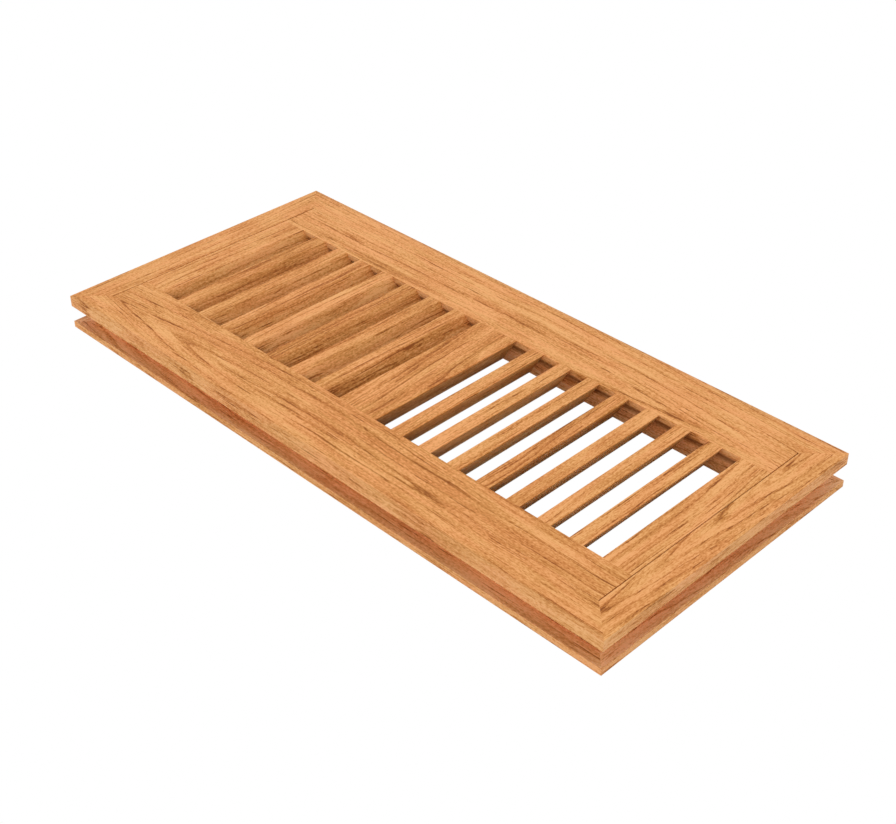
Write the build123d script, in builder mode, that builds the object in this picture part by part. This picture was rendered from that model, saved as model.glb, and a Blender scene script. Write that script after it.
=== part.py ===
from build123d import *

import os
from math import radians, tan

# Flush-mount wooden floor register: a grooved and mitred frame with a drop-in louvred grille.
# Millimetres. X runs along the long sides, Z is up, and the origin is the centre of the underside.

# Frame
frame_length = 381.0
frame_width = 177.8
frame_height = 19.84
border_width = 16.6  # top of the frame that shows round the grille
ledge_width = 12.7  # reach of the ledge under the grille
ledge_thickness = 3.97
upper_lip = 6.5  # wood above the outer groove
lower_lip = 3.7  # wood below the outer groove
groove_depth = 7.94
outer_ease = 0.3  # rounding of the frame's outer top edge

# Seams between the grille and the frame
end_gap = 0.6
side_gap = 0.1

# Grille
side_rail_width = 22.1
end_block_width = 16.3
centre_block_width = 27.0
louvre_width = 8.2
louvres_per_bank = 7
louvre_lean = 32.0  # degrees from upright, both banks leaning in towards the centre at the bottom
lip_height = 3.1  # top edge of a side rail, which the louvres meet end on
lip_overhang = 0.7  # how far that lip stands out over the rail's wall
housing_depth = 4.8  # how far the louvre ends pass under the lip into the rail
slot_ease = 0.3  # rounding of the top edges along the slots

# Worked out from the sizes above
rail_width = border_width + ledge_width
grille_length = frame_length - 2 * (border_width + end_gap)
grille_width = frame_width - 2 * (border_width + side_gap)
slot_length = grille_width - 2 * side_rail_width
bank_length = (grille_length - centre_block_width) / 2 - end_block_width
slot_width = (bank_length - louvres_per_bank * louvre_width) / (louvres_per_bank + 1)
louvre_pitch = louvre_width + slot_width
lip_floor = frame_height - lip_height
lean = tan(radians(louvre_lean))  # sideways travel of a leaning face for each millimetre down

# Each cross piece of the grille: its left and right top edges in X, and how each side leans
cross_pieces = {
    "grille_left_end": (-grille_length / 2, -grille_length / 2 + end_block_width, 0, lean),
    "grille_centre_block": (-centre_block_width / 2, centre_block_width / 2, lean, -lean),
    "grille_right_end": (grille_length / 2 - end_block_width, grille_length / 2, -lean, 0),
}
for number in range(louvres_per_bank):
    near = centre_block_width / 2 + slot_width + number * louvre_pitch
    far = near + louvre_width
    cross_pieces[f"louvre_left_{louvres_per_bank - number}"] = (-far, -near, lean, lean)
    cross_pieces[f"louvre_right_{number + 1}"] = (near, far, -lean, -lean)


def cross_outline(cross_piece, top):
    """Corners in X and Z of a cross piece's section, from the grille's underside up to a height."""
    left, right, left_lean, right_lean = cross_piece
    corners = []
    for edge, slope, height in (
        (left, left_lean, ledge_thickness),
        (right, right_lean, ledge_thickness),
        (right, right_lean, top),
        (left, left_lean, top),
    ):
        corners.append((edge + slope * (frame_height - height), height))
    return corners


def make_frame_rail(run, reach, heading):
    """A frame rail of outer length run, its outer face at reach from the centre."""
    inward = Vector(0, 0, 1).cross(heading)
    outer = -reach
    groove_back = outer + groove_depth
    groove_roof = frame_height - upper_lip
    rebate = outer + border_width
    inner = outer + rail_width
    section = [
        (outer, 0),
        (inner, 0),
        (inner, ledge_thickness),
        (rebate, ledge_thickness),
        (rebate, frame_height),
        (outer, frame_height),
        (outer, groove_roof),
        (groove_back, groove_roof),
        (groove_back, lower_lip),
        (outer, lower_lip),
    ]
    mitred_plan = [
        (-run / 2, outer),
        (run / 2, outer),
        (run / 2 - rail_width, inner),
        (-run / 2 + rail_width, inner),
    ]
    with BuildPart() as rail:
        with BuildSketch(Plane((0, 0, 0), x_dir=inward, z_dir=heading)):
            with BuildLine():
                Polyline(*section, close=True)
            make_face()
        extrude(amount=run / 2, both=True)
        long_edges = rail.edges().filter_by(Axis((0, 0, 0), heading))
        top_edges = long_edges.group_by(Axis.Z)[-1]
        fillet(top_edges.sort_by(Axis((0, 0, 0), inward))[0], radius=outer_ease)
        with BuildSketch(Plane((0, 0, 0), x_dir=heading, z_dir=(0, 0, 1))):
            with BuildLine():
                Polyline(*mitred_plan, close=True)
            make_face()
        extrude(amount=frame_height, mode=Mode.INTERSECT)
    return rail


def make_grille_rail(side):
    """A long rail of the grille, at the front (side -1) or the back (side 1)."""
    outer = side * grille_width / 2
    lip_edge = side * slot_length / 2
    wall = side * (slot_length / 2 + lip_overhang)
    section = [
        (outer, ledge_thickness),
        (wall, ledge_thickness),
        (wall, lip_floor),
        (lip_edge, lip_floor),
        (lip_edge, frame_height),
        (outer, frame_height),
    ]
    with BuildPart() as rail:
        with BuildSketch(Plane.YZ):
            with BuildLine():
                Polyline(*section, close=True)
            make_face()
        extrude(amount=grille_length / 2, both=True)
        # Housings for the cross pieces, cut from below up to the lip
        with BuildSketch(Plane.XZ.offset(-lip_edge)):
            for cross_piece in cross_pieces.values():
                with BuildLine():
                    Polyline(*cross_outline(cross_piece, lip_floor), close=True)
                make_face()
        extrude(amount=-side * housing_depth, mode=Mode.SUBTRACT)
    return rail


def make_cross_piece(cross_piece):
    """A louvre or block across the grille, its ends notched to pass under the rails' lips."""
    with BuildPart() as piece:
        with BuildSketch(Plane.XZ):
            with BuildLine():
                Polyline(*cross_outline(cross_piece, frame_height), close=True)
            make_face()
        extrude(amount=slot_length / 2, both=True)
        with BuildSketch(Plane.XZ):
            with BuildLine():
                Polyline(*cross_outline(cross_piece, lip_floor), close=True)
            make_face()
        extrude(amount=slot_length / 2 + housing_depth, both=True)
        top_edges = piece.edges().filter_by(Axis.Y).group_by(Axis.Z)[-1]
        grille_end = grille_length / 2
        slot_edges = top_edges.filter_by_position(Axis.X, -grille_end, grille_end, (False, False))
        fillet(slot_edges, radius=slot_ease)
    return piece


def save(piece, name):
    piece.part.label = name
    export_step(piece.part, f"parts/{name}.step")


os.makedirs("parts", exist_ok=True)

# Frame rails, each with its outer length, its reach from the centre and its heading
save(make_frame_rail(frame_length, frame_width / 2, Vector(1, 0, 0)), "frame_front_rail")
save(make_frame_rail(frame_length, frame_width / 2, Vector(-1, 0, 0)), "frame_back_rail")
save(make_frame_rail(frame_width, frame_length / 2, Vector(0, -1, 0)), "frame_left_rail")
save(make_frame_rail(frame_width, frame_length / 2, Vector(0, 1, 0)), "frame_right_rail")

# Grille
save(make_grille_rail(-1), "grille_front_rail")
save(make_grille_rail(1), "grille_back_rail")
for name, cross_piece in cross_pieces.items():
    save(make_cross_piece(cross_piece), name)
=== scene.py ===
from math import cos, radians, sin

import bpy
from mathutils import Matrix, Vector


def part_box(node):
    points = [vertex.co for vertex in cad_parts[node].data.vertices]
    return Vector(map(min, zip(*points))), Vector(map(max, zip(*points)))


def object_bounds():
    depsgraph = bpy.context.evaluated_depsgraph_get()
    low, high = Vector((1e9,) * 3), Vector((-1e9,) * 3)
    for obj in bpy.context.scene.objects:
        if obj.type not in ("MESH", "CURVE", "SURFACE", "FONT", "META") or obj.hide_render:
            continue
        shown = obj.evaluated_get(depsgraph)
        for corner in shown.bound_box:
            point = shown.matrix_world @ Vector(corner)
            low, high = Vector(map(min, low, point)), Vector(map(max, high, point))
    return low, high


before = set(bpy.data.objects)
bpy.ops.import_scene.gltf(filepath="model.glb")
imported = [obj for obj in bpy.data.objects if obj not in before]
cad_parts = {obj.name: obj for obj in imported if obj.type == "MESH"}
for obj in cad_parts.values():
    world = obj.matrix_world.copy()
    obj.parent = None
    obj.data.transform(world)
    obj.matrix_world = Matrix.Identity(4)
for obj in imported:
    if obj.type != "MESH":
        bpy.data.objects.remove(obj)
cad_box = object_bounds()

# Looks of the wooden floor register. Places are in metres, and the wood's own pattern is in millimetres.
MILLIMETRES = 1000.0  # in a metre
TOP = cad_box[1][2]  # height of the top face
FRONT_RAIL_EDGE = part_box("grille_front_rail")[1][1]  # inner edge of the grille's front rail

# Camera, matched to the photograph's 896 x 824 frame
CAMERA_PLACE = Vector((0.46148, -0.44852, 0.44775))
CAMERA_AZIMUTH = 45.0
CAMERA_ELEVATION = 35.2644
CAMERA_LENS = 61.05
SENSOR_WIDTH = 36.0

# Sky and floor
WHITE = (1, 1, 1, 1)
SKY_LIGHT = 1.00
FLOOR_SHARE = 0.75  # light that the floor throws back
FLOOR_SIZE = 40.0
FLOOR_DROP = 0.0002  # how far the floor lies below the register

# Soft box, low in front of the register
SOFT_BOX_AZIMUTH = -12.0
SOFT_BOX_ELEVATION = 8.0
SOFT_BOX_DISTANCE = 2.0
SOFT_BOX_WIDTH = 1.5
SOFT_BOX_HEIGHT = 0.4
SOFT_BOX_POWER = 4.2  # watts

# Wood colours, linear, by darkness
WOOD_COLOURS = (
    (0.00, (0.850, 0.422, 0.152, 1)),
    (0.20, (0.752, 0.346, 0.107, 1)),
    (0.36, (0.662, 0.283, 0.077, 1)),
    (0.55, (0.552, 0.214, 0.047, 1)),
    (0.77, (0.428, 0.146, 0.026, 1)),
    (1.00, (0.280, 0.080, 0.011, 1)),
)

# Tints, linear, that multiply the wood's colour
RED_TINT = (1.01, 0.93, 0.95, 1)  # redder patches
EDGE_TINT = (0.89, 0.90, 0.93, 1)  # line along the long outer edges
BARE_AND_LIT_TINT = (1.05, 1.50, 1.85, 1)  # faces of the louvres and blocks that look down, paler and less red: partly bare wood that the finish misses, partly painted light
# Painted shade that darkens the feet of the louvres and blocks close behind the front rail
PAINTED_CORNER_SHADE = (0.82, 0.81, 0.81, 1)  # feet of the louvres and blocks close behind the front rail
# Painted light: paler and less red on the frame's outer faces, lightest deep in the grooves
FRAME_PAINTED_LIGHT = (  # faces of the frame below the top, by millimetres in from the outer faces
    (0.0, (0.99, 1.05, 1.18, 1)),
    (0.2, (0.88, 0.99, 1.32, 1)),
    (6.0, (1.09, 1.23, 1.66, 1)),
)
# Painted shadow, darkest just under the lip, and painted light lower down the grille rails' inside faces
LIP_SHADOW_AND_LIGHT = (  # inside faces of the grille's rails, by depth in millimetres
    (3.6, (0.97, 1.07, 1.27, 1)),
    (4.6, (0.42, 0.40, 0.40, 1)),
    (5.4, (0.45, 0.44, 0.46, 1)),
    (8.0, (1.20, 1.40, 1.90, 1)),
    (12.0, (1.35, 1.68, 2.45, 1)),
)

# Reach of the finish, which is put on from above, and of the bare-wood tint that is partly painted light
FINISH_REACH = 0.0004  # how far it runs over an edge
LOOKS_UP = 0.3  # upward share of the normal of a face that it reaches
SLOPE_DEPTH = 0.016  # depth at which the bare-wood and painted-light tint is full on such a face
SLOPE_TINT_SHARE = 0.3  # share of that tint there

# Places of the darker edges and of the painted shade in the corners
EDGE_LINE = 0.0014  # width of the line along the long outer edges
CORNER_STEEPNESS = (0.35, 0.85)  # depth by distance from the front rail, from first shade to darkest

# Sway of the grain: length, width and reach of each of its waves
SWAYS = (
    (170.0, 40.0, 9.0),
    (45.0, 10.0, 2.4),
    (13.0, 4.0, 0.6),
)
SWAY_DETAIL = 1.0
ACROSS_GRAIN = (0.0, 1.0, 1.0)  # leaves out the part of a place along the grain

# Growth rings
RING_EDGE = (  # darkness across one ring, from its sharp inner edge outwards
    (0.00, 0.30),
    (0.04, 1.00),
    (0.12, 0.75),
    (0.25, 0.35),
    (0.50, 0.08),
    (0.96, 0.00),
    (1.00, 0.30),
)
RING_STRENGTH = (0.4, 0.9)  # of the faintest and the strongest ring
UNEVEN_SPAN = 11.0  # distance over which rings grow wider or narrower
UNEVEN_RINGS = 3.0  # how many rings that adds at most
BREAKS = {"along": 180.0, "across": 7.0}  # stretches where a ring's line grows faint
BREAK_LIMITS = (0.32, 0.58)  # noise where the line is faintest and where it is whole
BREAK_STRENGTH = 0.4  # what is left of the line where it is faintest

# Smaller marks, as noise drawn out along the grain
NOISE_MEAN = 0.5
HAIRLINES = {"along": 80.0, "across": 1.1, "detail": 3.0, "roughness": 0.68}
HAIR_DRIFT = 0.03  # change of the hairlines across the log, as a share of their change with depth
PORES = {"along": 20.0, "across": 0.6, "detail": 1.0}
PORE_LIMITS = (0.54, 0.68)  # noise where a pore begins and where it is deepest
PORE_SHARE = 0.22  # how much of a pore shows away from the edge of a ring
PORE_SHARE_AT_EDGE = 0.85  # how much more of it shows at the edge
BLOTCHES = {"along": 36.0, "across": 7.0}
SPECKS = {"along": 1.7, "across": 0.65, "detail": 1.0, "roughness": 0.6}
RED_PATCHES = {"along": 34.0, "across": 6.0}
RED_LIMITS = (0.35, 0.65)  # noise where the wood begins to redden and where it is reddest

# Share of each mark in the wood's darkness, which is 0 for the palest wood and 1 for the deepest
LINE_DARKNESS = 0.42
PORE_DARKNESS = 0.70
HAIR_DARKNESS = 1.05
HAIR_DARKNESS_AT_EDGE = 1.6  # added at the edge of a ring
BLOTCH_DARKNESS = 0.7
SPECK_DARKNESS = 1.25

# Gloss and relief of the grain
ROUGHNESS = (0.52, 0.68)  # of the palest and the deepest wood
SPECULAR_LEVEL = 0.2
HAIR_RELIEF = 0.5
PORE_RELIEF = -0.8
BUMP_STRENGTH = 0.15
BUMP_HEIGHT = 0.0001

# Boards, as make_wood takes them
FRONT_BOARD = {
    "heading": "X", "pith": -73, "below": 2, "start": 300, "ring_width": 4.5,
    "first_ring": 15, "flare": 17.5, "flare_from": -235, "flare_to": -40,
}
BACK_BOARD = {
    "heading": "X", "pith": 55, "below": 2, "start": 1100, "ring_width": 5.0,
    "first_ring": 10, "flare": 14, "flare_from": 205, "flare_to": 0,
}
LEFT_BOARD = {
    "heading": "Y", "pith": -150, "below": 6, "start": 1800, "ring_width": 3.6, "tone": 0.18,
}
RIGHT_BOARD = {
    "heading": "Y", "pith": 178.5, "below": 2, "start": 3000, "ring_width": 3.6, "tone": 0.12,
    "first_ring": 15, "flare": 16, "flare_from": -130, "flare_to": 110,
}
LEFT_END_BOARD = {
    "heading": "Y", "pith": -140, "below": 6, "start": 3600, "ring_width": 3.6, "tone": 0.19,
}
RIGHT_END_BOARD = {
    "heading": "Y", "pith": 185, "below": 4, "start": 4500, "ring_width": 3.4, "tone": 0.14,
    "flare": 4, "flare_from": 0, "flare_to": 60,
}
CENTRE_BOARD = {
    "heading": "Y", "pith": 10, "below": 3, "start": 5700, "ring_width": 4.0, "tone": 0.31,
    "first_ring": 15, "flare": 6, "flare_from": -60, "flare_to": 50,
}

# Tones of the rails that are cut from the front and the back board
FRAME_TONES = {"front": 0.19, "back": 0.15}
GRILLE_TONES = {"front": 0.27, "back": 0.16}

# Wood of the louvres
LOUVRE_TONES = {  # from left to right
    "left": (0.35, 0.26, 0.28, 0.10, 0.44, 0.26, 0.35),
    "right": (0.33, 0.09, 0.18, 0.37, 0.26, 0.18, 0.18),
}
LOUVRE_START = 7000  # stretch of the log between those of the two banks
LOUVRE_STRIDE = 420  # from one louvre's stretch to the next one's
LOUVRE_PITH = 60  # from the middle of the register, before the first step
LOUVRE_PITH_STEP = 9  # from one louvre's pith to the next one's
LOUVRE_PITH_DEPTH = 9
LOUVRE_RING_WIDTH = 3.4


def feed(tree, socket, value):
    """Gives an input socket another node's output, or a plain value."""
    if isinstance(value, bpy.types.NodeSocket):
        tree.links.new(value, socket)
    else:
        socket.default_value = value


def add_node(tree, kind, inputs=None, **settings):
    """A new node of a tree, with its own settings and what its inputs are fed."""
    node = tree.nodes.new(kind)
    for name, value in settings.items():
        setattr(node, name, value)
    for name, value in (inputs or {}).items():
        feed(tree, node.inputs[name], value)
    return node


def calc(tree, operation, *values):
    """The output of a Math node."""
    node = add_node(tree, "ShaderNodeMath", dict(enumerate(values)), operation=operation)
    return node.outputs["Value"]


def calc_vector(tree, operation, *values):
    """The output of a Vector Math node, a length or a vector."""
    node = add_node(tree, "ShaderNodeVectorMath", dict(enumerate(values)), operation=operation)
    return node.outputs["Value" if operation == "LENGTH" else "Vector"]


def split(tree, vector):
    """The X, Y and Z outputs of a vector."""
    return add_node(tree, "ShaderNodeSeparateXYZ", {"Vector": vector}).outputs


def map_range(tree, value, low, high, to_low=0.0, to_high=1.0):
    """A value's place between two limits, eased and held at the ends."""
    limits = {"From Min": low, "From Max": high, "To Min": to_low, "To Max": to_high}
    node = add_node(tree, "ShaderNodeMapRange", {"Value": value, **limits}, interpolation_type="SMOOTHSTEP")
    return node.outputs["Result"]


def ramp(tree, value, stops):
    """A colour ramp over pairs of place and colour."""
    node = add_node(tree, "ShaderNodeValToRGB", {"Fac": value})
    elements = node.color_ramp.elements
    while len(elements) < len(stops):
        elements.new(1.0)
    for element, (place, colour) in zip(elements, stops):
        element.position = place
        element.color = colour
    return node.outputs["Color"]


def tint(tree, colour, by, amount):
    """A colour multiplied by a tint, as far as the amount says."""
    inputs = {"Factor": amount, "A": colour, "B": by}
    node = add_node(tree, "ShaderNodeMix", inputs, data_type="RGBA", blend_type="MULTIPLY")
    return node.outputs["Result"]


def tint_at(tree, length, stops):
    """The tint at a length in metres, out of pairs of millimetres and tint."""
    furthest = stops[-1][0]
    share = calc(tree, "MULTIPLY", length, MILLIMETRES / furthest)
    return ramp(tree, share, [(limit / furthest, colour) for limit, colour in stops])


def grain_noise(tree, place, along, across, detail=2.0, roughness=0.5):
    """Outputs of a noise drawn out along the grain, its patches about this many millimetres long and wide."""
    stretched = calc_vector(tree, "DIVIDE", place, (along, across, across))
    inputs = {"Vector": stretched, "Scale": 1.0, "Detail": detail, "Roughness": roughness}
    return add_node(tree, "ShaderNodeTexNoise", inputs, noise_dimensions="3D").outputs


def sway(tree, place):
    """A place in the log moved across the grain, so that the grain sways slowly and has small ripples."""
    for along, across, reach in SWAYS:
        shift = grain_noise(tree, place, along, across, SWAY_DETAIL)["Color"]
        shift = calc_vector(tree, "SUBTRACT", shift, (NOISE_MEAN, NOISE_MEAN, NOISE_MEAN))
        shift = calc_vector(tree, "MULTIPLY", shift, (0.0, reach, reach))
        place = calc_vector(tree, "ADD", place, shift)
    return place


def ring_radius(tree, given, place):
    """Distance from the pith, less what the log's flare adds to it."""
    radius = calc_vector(tree, "LENGTH", calc_vector(tree, "MULTIPLY", place, ACROSS_GRAIN))
    along = split(tree, place)["X"]
    flare = map_range(tree, along, given["Flare from"], given["Flare to"], 0.0, given["Flare"])
    return calc(tree, "SUBTRACT", radius, flare)


def growth_rings(tree, given, place, radius):
    """Edges of rings of uneven width, and the lines that they draw, some of them strong and some faint."""
    span = calc(tree, "DIVIDE", radius, UNEVEN_SPAN)
    uneven = add_node(tree, "ShaderNodeTexNoise", {"W": span, "Scale": 1.0}, noise_dimensions="1D")
    rings = calc(tree, "DIVIDE", radius, given["Ring width"])
    rings = calc(tree, "MULTIPLY_ADD", uneven.outputs["Fac"], UNEVEN_RINGS, rings)
    rings = calc(tree, "ADD", rings, given["First ring"])
    edge = ramp(tree, calc(tree, "FRACT", rings), [(at, (dark, dark, dark, 1)) for at, dark in RING_EDGE])
    number = calc(tree, "FLOOR", rings)
    chance = add_node(tree, "ShaderNodeTexWhiteNoise", {"W": number}, noise_dimensions="1D")
    strength = map_range(tree, chance.outputs["Value"], 0.0, 1.0, *RING_STRENGTH)
    breaks = grain_noise(tree, place, **BREAKS)["Fac"]
    whole = map_range(tree, breaks, *BREAK_LIMITS, BREAK_STRENGTH, 1.0)
    line = calc(tree, "MULTIPLY", calc(tree, "MULTIPLY", edge, strength), whole)
    return edge, line


def hairlines(tree, given, place, radius):
    """Hairlines that keep to the rings."""
    parts = split(tree, place)
    level = split(tree, given["Place"])["Z"]
    level = calc(tree, "MULTIPLY_ADD", parts["Y"], HAIR_DRIFT, level)
    ring_place = add_node(tree, "ShaderNodeCombineXYZ", {"X": parts["X"], "Y": radius, "Z": level})
    return grain_noise(tree, ring_place.outputs["Vector"], **HAIRLINES)["Fac"]


def pores(tree, place, edge):
    """Open pores, most of them at the edges of the rings."""
    depth = map_range(tree, grain_noise(tree, place, **PORES)["Fac"], *PORE_LIMITS)
    share = calc(tree, "MULTIPLY_ADD", edge, PORE_SHARE_AT_EDGE, PORE_SHARE)
    return calc(tree, "MULTIPLY", depth, share)


def make_log():
    """The inside of a log as a node group: rings round the X axis, pushed outwards where the log flares, and
    hairlines and pores along them."""
    tree = bpy.data.node_groups.new("log", "ShaderNodeTree")
    sockets = tree.interface
    sockets.new_socket("Place", in_out="INPUT", socket_type="NodeSocketVector")
    for name in ("First ring", "Ring width", "Flare", "Flare from", "Flare to", "Tone"):
        sockets.new_socket(name, in_out="INPUT", socket_type="NodeSocketFloat")
    sockets.new_socket("Colour", in_out="OUTPUT", socket_type="NodeSocketColor")
    sockets.new_socket("Roughness", in_out="OUTPUT", socket_type="NodeSocketFloat")
    sockets.new_socket("Height", in_out="OUTPUT", socket_type="NodeSocketFloat")
    given = add_node(tree, "NodeGroupInput").outputs

    # Marks in the wood
    place = sway(tree, given["Place"])
    radius = ring_radius(tree, given, place)
    edge, line = growth_rings(tree, given, place, radius)
    hair = hairlines(tree, given, place, radius)
    pore = pores(tree, place, edge)
    blotch = grain_noise(tree, place, **BLOTCHES)["Fac"]
    speck = grain_noise(tree, place, **SPECKS)["Fac"]

    # Darkness that they add up to
    darkness = calc(tree, "MULTIPLY_ADD", line, LINE_DARKNESS, given["Tone"])
    darkness = calc(tree, "MULTIPLY_ADD", pore, PORE_DARKNESS, darkness)
    hair_darkness = calc(tree, "MULTIPLY_ADD", edge, HAIR_DARKNESS_AT_EDGE, HAIR_DARKNESS)
    for mark, share in ((hair, hair_darkness), (blotch, BLOTCH_DARKNESS), (speck, SPECK_DARKNESS)):
        darkness = calc(tree, "MULTIPLY_ADD", calc(tree, "SUBTRACT", mark, NOISE_MEAN), share, darkness)

    # Colour with patches of redder and of more golden wood, roughness and relief
    red = map_range(tree, grain_noise(tree, place, **RED_PATCHES)["Fac"], *RED_LIMITS)
    colour = tint(tree, ramp(tree, darkness, WOOD_COLOURS), RED_TINT, red)
    roughness = map_range(tree, darkness, 0.0, 1.0, *ROUGHNESS)
    height = calc(tree, "MULTIPLY_ADD", pore, PORE_RELIEF, calc(tree, "MULTIPLY", hair, HAIR_RELIEF))
    add_node(tree, "NodeGroupOutput", {"Colour": colour, "Roughness": roughness, "Height": height})
    return tree


def below_top_face(tree, place):
    """1 below the top face by more than the finish's reach, and 0 above; it places the painted shade and
    light below the top and the bare-wood tint.
    """
    return calc(tree, "LESS_THAN", split(tree, place)["Z"], TOP - FINISH_REACH)


def depth_below_top(tree, place):
    """How far below the top face a place is."""
    return calc(tree, "SUBTRACT", TOP, split(tree, place)["Z"])


def long_edges(tree, place):
    """1 in a narrow line along the top's long outer edges, and 0 elsewhere."""
    parts = split(tree, calc_vector(tree, "ABSOLUTE", place))
    edge = cad_box[1][1]
    near = map_range(tree, parts["Y"], edge - 2 * EDGE_LINE, edge - EDGE_LINE)
    return calc(tree, "MULTIPLY", near, calc(tree, "GREATER_THAN", parts["Z"], TOP - FINISH_REACH))


def painted_front_corner_shade(tree, place):
    """Painted shade: 1 deep in the corners behind the grille's front rail, and 0 in the open."""
    away = calc(tree, "SUBTRACT", split(tree, place)["Y"], FRONT_RAIL_EDGE)
    steepness = calc(tree, "DIVIDE", depth_below_top(tree, place), away)
    return map_range(tree, steepness, *CORNER_STEEPNESS)


def tint_short_rail(tree, colour, place):
    """Rail of the frame: below the top it is tinted by how far in from the outer faces it is, a painted light
    that is paler and less red on the outer faces and lightest deep in the grooves.
    """
    inwards = split(tree, calc_vector(tree, "SUBTRACT", cad_box[1], calc_vector(tree, "ABSOLUTE", place)))
    inwards = calc(tree, "MINIMUM", inwards["X"], inwards["Y"])
    # Painted light, lightest deep in the grooves
    return tint(tree, colour, tint_at(tree, inwards, FRAME_PAINTED_LIGHT), below_top_face(tree, place))


def tint_long_rail(tree, colour, place):
    """Long rail of the frame: as the short ones, with a darker line along its outer edge."""
    colour = tint_short_rail(tree, colour, place)
    return tint(tree, colour, EDGE_TINT, long_edges(tree, place))


def tint_grille_rail(tree, colour, place):
    """Long rail of the grille: painted shadow on its inside face just under the lip, and painted light
    further down.
    """
    # Painted shadow under the lip and painted light further down the inside face
    painted_lip_shadow_and_light = tint_at(tree, depth_below_top(tree, place), LIP_SHADOW_AND_LIGHT)
    return tint(tree, colour, painted_lip_shadow_and_light, below_top_face(tree, place))


def tint_cross_piece(tree, colour, place):
    """Louvre or block: paler and less red where it looks down and deep on its slopes, partly bare wood and
    partly painted light, with painted shade in the corners behind the front rail.
    """
    normal = add_node(tree, "ShaderNodeNewGeometry").outputs["Normal"]
    looks_down = calc(tree, "LESS_THAN", split(tree, normal)["Z"], LOOKS_UP)
    deep_on_slope = map_range(tree, split(tree, place)["Z"], TOP, TOP - SLOPE_DEPTH, 0.0, SLOPE_TINT_SHARE)
    bare_and_lit = calc(tree, "MULTIPLY", calc(tree, "MAXIMUM", looks_down, deep_on_slope), below_top_face(tree, place))
    # Paler, less red where it looks down and deep on the slopes: partly bare wood, partly painted light
    colour = tint(tree, colour, BARE_AND_LIT_TINT, bare_and_lit)
    # Painted shade in the corners behind the front rail
    return tint(tree, colour, PAINTED_CORNER_SHADE, painted_front_corner_shade(tree, place))


def make_wood(
    name, log, tint_piece, heading, pith, below, start, ring_width, tone,
    first_ring=0, flare=0.0, flare_from=0.0, flare_to=1.0,
):
    """Wood of one board, in millimetres. Its grain heads along X or Y of the register, with the log's pith
    along the line at this Y or X and so far below the top face. The start picks its own stretch of the log,
    and the first ring its own run of rings. From one place along the board to another the rings flare
    outwards. The tone is the darkness of the plain wood."""
    material = bpy.data.materials.new(name)
    material.use_nodes = True
    tree = material.node_tree
    place = add_node(tree, "ShaderNodeTexCoord").outputs["Object"]

    # The grain is turned along the X axis of the log, with the pith on that axis
    turn, across = {"X": (0.0, -pith), "Y": (-90.0, pith)}[heading]
    cut = {
        "Vector": place,
        "Scale": (MILLIMETRES, MILLIMETRES, MILLIMETRES),
        "Rotation": (0.0, 0.0, radians(turn)),
        "Location": (start, across, below - TOP * MILLIMETRES),
    }
    board = {
        "Place": add_node(tree, "ShaderNodeMapping", cut).outputs["Vector"],
        "First ring": first_ring,
        "Ring width": ring_width,
        "Flare": flare,
        "Flare from": start + flare_from,
        "Flare to": start + flare_to,
        "Tone": tone,
    }
    grain = add_node(tree, "ShaderNodeGroup", board, node_tree=log).outputs

    # Colour, gloss and relief
    relief = {"Strength": BUMP_STRENGTH, "Distance": BUMP_HEIGHT, "Height": grain["Height"]}
    shader = tree.nodes["Principled BSDF"]
    feed(tree, shader.inputs["Base Color"], tint_piece(tree, grain["Colour"], place))
    feed(tree, shader.inputs["Roughness"], grain["Roughness"])
    feed(tree, shader.inputs["Normal"], add_node(tree, "ShaderNodeBump", relief).outputs["Normal"])
    feed(tree, shader.inputs["Specular IOR Level"], SPECULAR_LEVEL)
    return material


def dress(node, wood):
    """Puts one material on a whole CAD node."""
    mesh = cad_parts[node].data
    mesh.materials.clear()
    mesh.materials.append(wood)


def dress_long_rails(log):
    """The long rails, those of frame and grille cut from one board a side."""
    for side, board in (("front", FRONT_BOARD), ("back", BACK_BOARD)):
        frame_tone = FRAME_TONES[side]
        grille_tone = GRILLE_TONES[side]
        frame_wood = make_wood(f"frame_{side}_wood", log, tint_long_rail, tone=frame_tone, **board)
        grille_wood = make_wood(f"grille_{side}_wood", log, tint_grille_rail, tone=grille_tone, **board)
        dress(f"frame_{side}_rail", frame_wood)
        dress(f"grille_{side}_rail", grille_wood)


def dress_short_rails(log):
    """The short rails of the frame, each cut from a board of its own."""
    left = make_wood("left_wood", log, tint_short_rail, **LEFT_BOARD)
    right = make_wood("right_wood", log, tint_short_rail, **RIGHT_BOARD)
    dress("frame_left_rail", left)
    dress("frame_right_rail", right)


def dress_blocks(log):
    """The cross blocks of the grille, each cut from a board of its own."""
    left_end = make_wood("left_end_wood", log, tint_cross_piece, **LEFT_END_BOARD)
    right_end = make_wood("right_end_wood", log, tint_cross_piece, **RIGHT_END_BOARD)
    centre = make_wood("centre_wood", log, tint_cross_piece, **CENTRE_BOARD)
    dress("grille_left_end", left_end)
    dress("grille_right_end", right_end)
    dress("grille_centre_block", centre)


def dress_louvres(log):
    """The louvres, each cut from its own stretch of the log and at its own distance from the pith."""
    for bank, side in (("left", -1), ("right", 1)):
        for number, tone in enumerate(LOUVRE_TONES[bank], 1):
            node = f"louvre_{bank}_{number}"
            wood = make_wood(
                f"{node}_wood", log, tint_cross_piece,
                heading="Y",
                pith=side * (LOUVRE_PITH + LOUVRE_PITH_STEP * number),
                below=LOUVRE_PITH_DEPTH,
                start=LOUVRE_START + side * LOUVRE_STRIDE * number,
                ring_width=LOUVRE_RING_WIDTH,
                tone=tone,
            )
            dress(node, wood)


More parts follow.
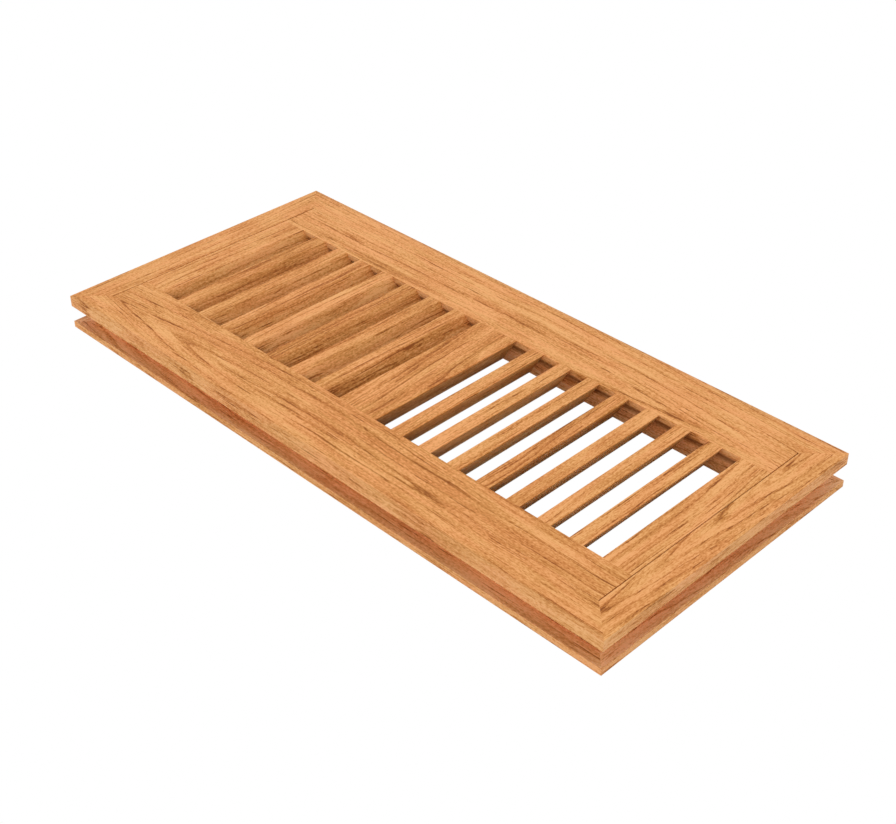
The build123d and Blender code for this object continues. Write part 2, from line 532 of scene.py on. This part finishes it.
def make_floor():
    """A plain floor that throws the sky's light back, and looks pure white itself, as in the photograph."""
    bpy.ops.mesh.primitive_plane_add(size=FLOOR_SIZE, location=(0, 0, -FLOOR_DROP))
    floor = bpy.context.object
    floor.name = "floor"
    material = bpy.data.materials.new("floor_white")
    material.use_nodes = True
    tree = material.node_tree
    tree.nodes.clear()
    matt = add_node(tree, "ShaderNodeBsdfDiffuse", {"Color": (FLOOR_SHARE, FLOOR_SHARE, FLOOR_SHARE, 1)})
    white = add_node(tree, "ShaderNodeEmission", {"Color": WHITE})
    seen = add_node(tree, "ShaderNodeMixShader")
    feed(tree, seen.inputs["Fac"], add_node(tree, "ShaderNodeLightPath").outputs["Is Camera Ray"])
    feed(tree, seen.inputs[1], matt.outputs["BSDF"])
    feed(tree, seen.inputs[2], white.outputs["Emission"])
    add_node(tree, "ShaderNodeOutputMaterial", {"Surface": seen.outputs["Shader"]})
    floor.data.materials.append(material)


def make_sky():
    """An even white sky."""
    world = bpy.data.worlds.new("studio")
    bpy.context.scene.world = world
    world.use_nodes = True
    background = world.node_tree.nodes["Background"]
    background.inputs["Color"].default_value = WHITE
    background.inputs["Strength"].default_value = SKY_LIGHT


def direction_from(azimuth, elevation):
    """The direction towards a place round the register. Azimuth 0 is in front of it, and 90 to its right."""
    turn = radians(azimuth)
    rise = radians(elevation)
    return Vector((sin(turn) * cos(rise), -cos(turn) * cos(rise), sin(rise)))


def make_soft_box():
    """A wide, low soft light, which reaches the outer faces and hardly enters the slots."""
    light = bpy.data.lights.new("front", "AREA")
    light.shape = "RECTANGLE"
    light.size = SOFT_BOX_WIDTH
    light.size_y = SOFT_BOX_HEIGHT
    light.energy = SOFT_BOX_POWER
    lamp = bpy.data.objects.new("front", light)
    back = direction_from(SOFT_BOX_AZIMUTH, SOFT_BOX_ELEVATION)
    lamp.location = back * SOFT_BOX_DISTANCE
    lamp.rotation_euler = back.to_track_quat("Z", "Y").to_euler()
    lamp.visible_camera = False
    bpy.context.scene.collection.objects.link(lamp)


def make_camera():
    """The photograph's view."""
    lens = bpy.data.cameras.new("camera")
    lens.sensor_width = SENSOR_WIDTH
    lens.lens = CAMERA_LENS
    camera = bpy.data.objects.new("camera", lens)
    camera.location = CAMERA_PLACE
    back = direction_from(CAMERA_AZIMUTH, CAMERA_ELEVATION)
    camera.rotation_euler = back.to_track_quat("Z", "Y").to_euler()
    bpy.context.scene.collection.objects.link(camera)
    bpy.context.scene.camera = camera


def dress_register():
    """Wood for every piece, all of it out of one log."""
    log = make_log()
    dress_long_rails(log)
    dress_short_rails(log)
    dress_blocks(log)
    dress_louvres(log)


make_camera()
make_floor()
make_sky()
make_soft_box()
dress_register()
bpy.context.scene.view_settings.view_transform = "Standard"
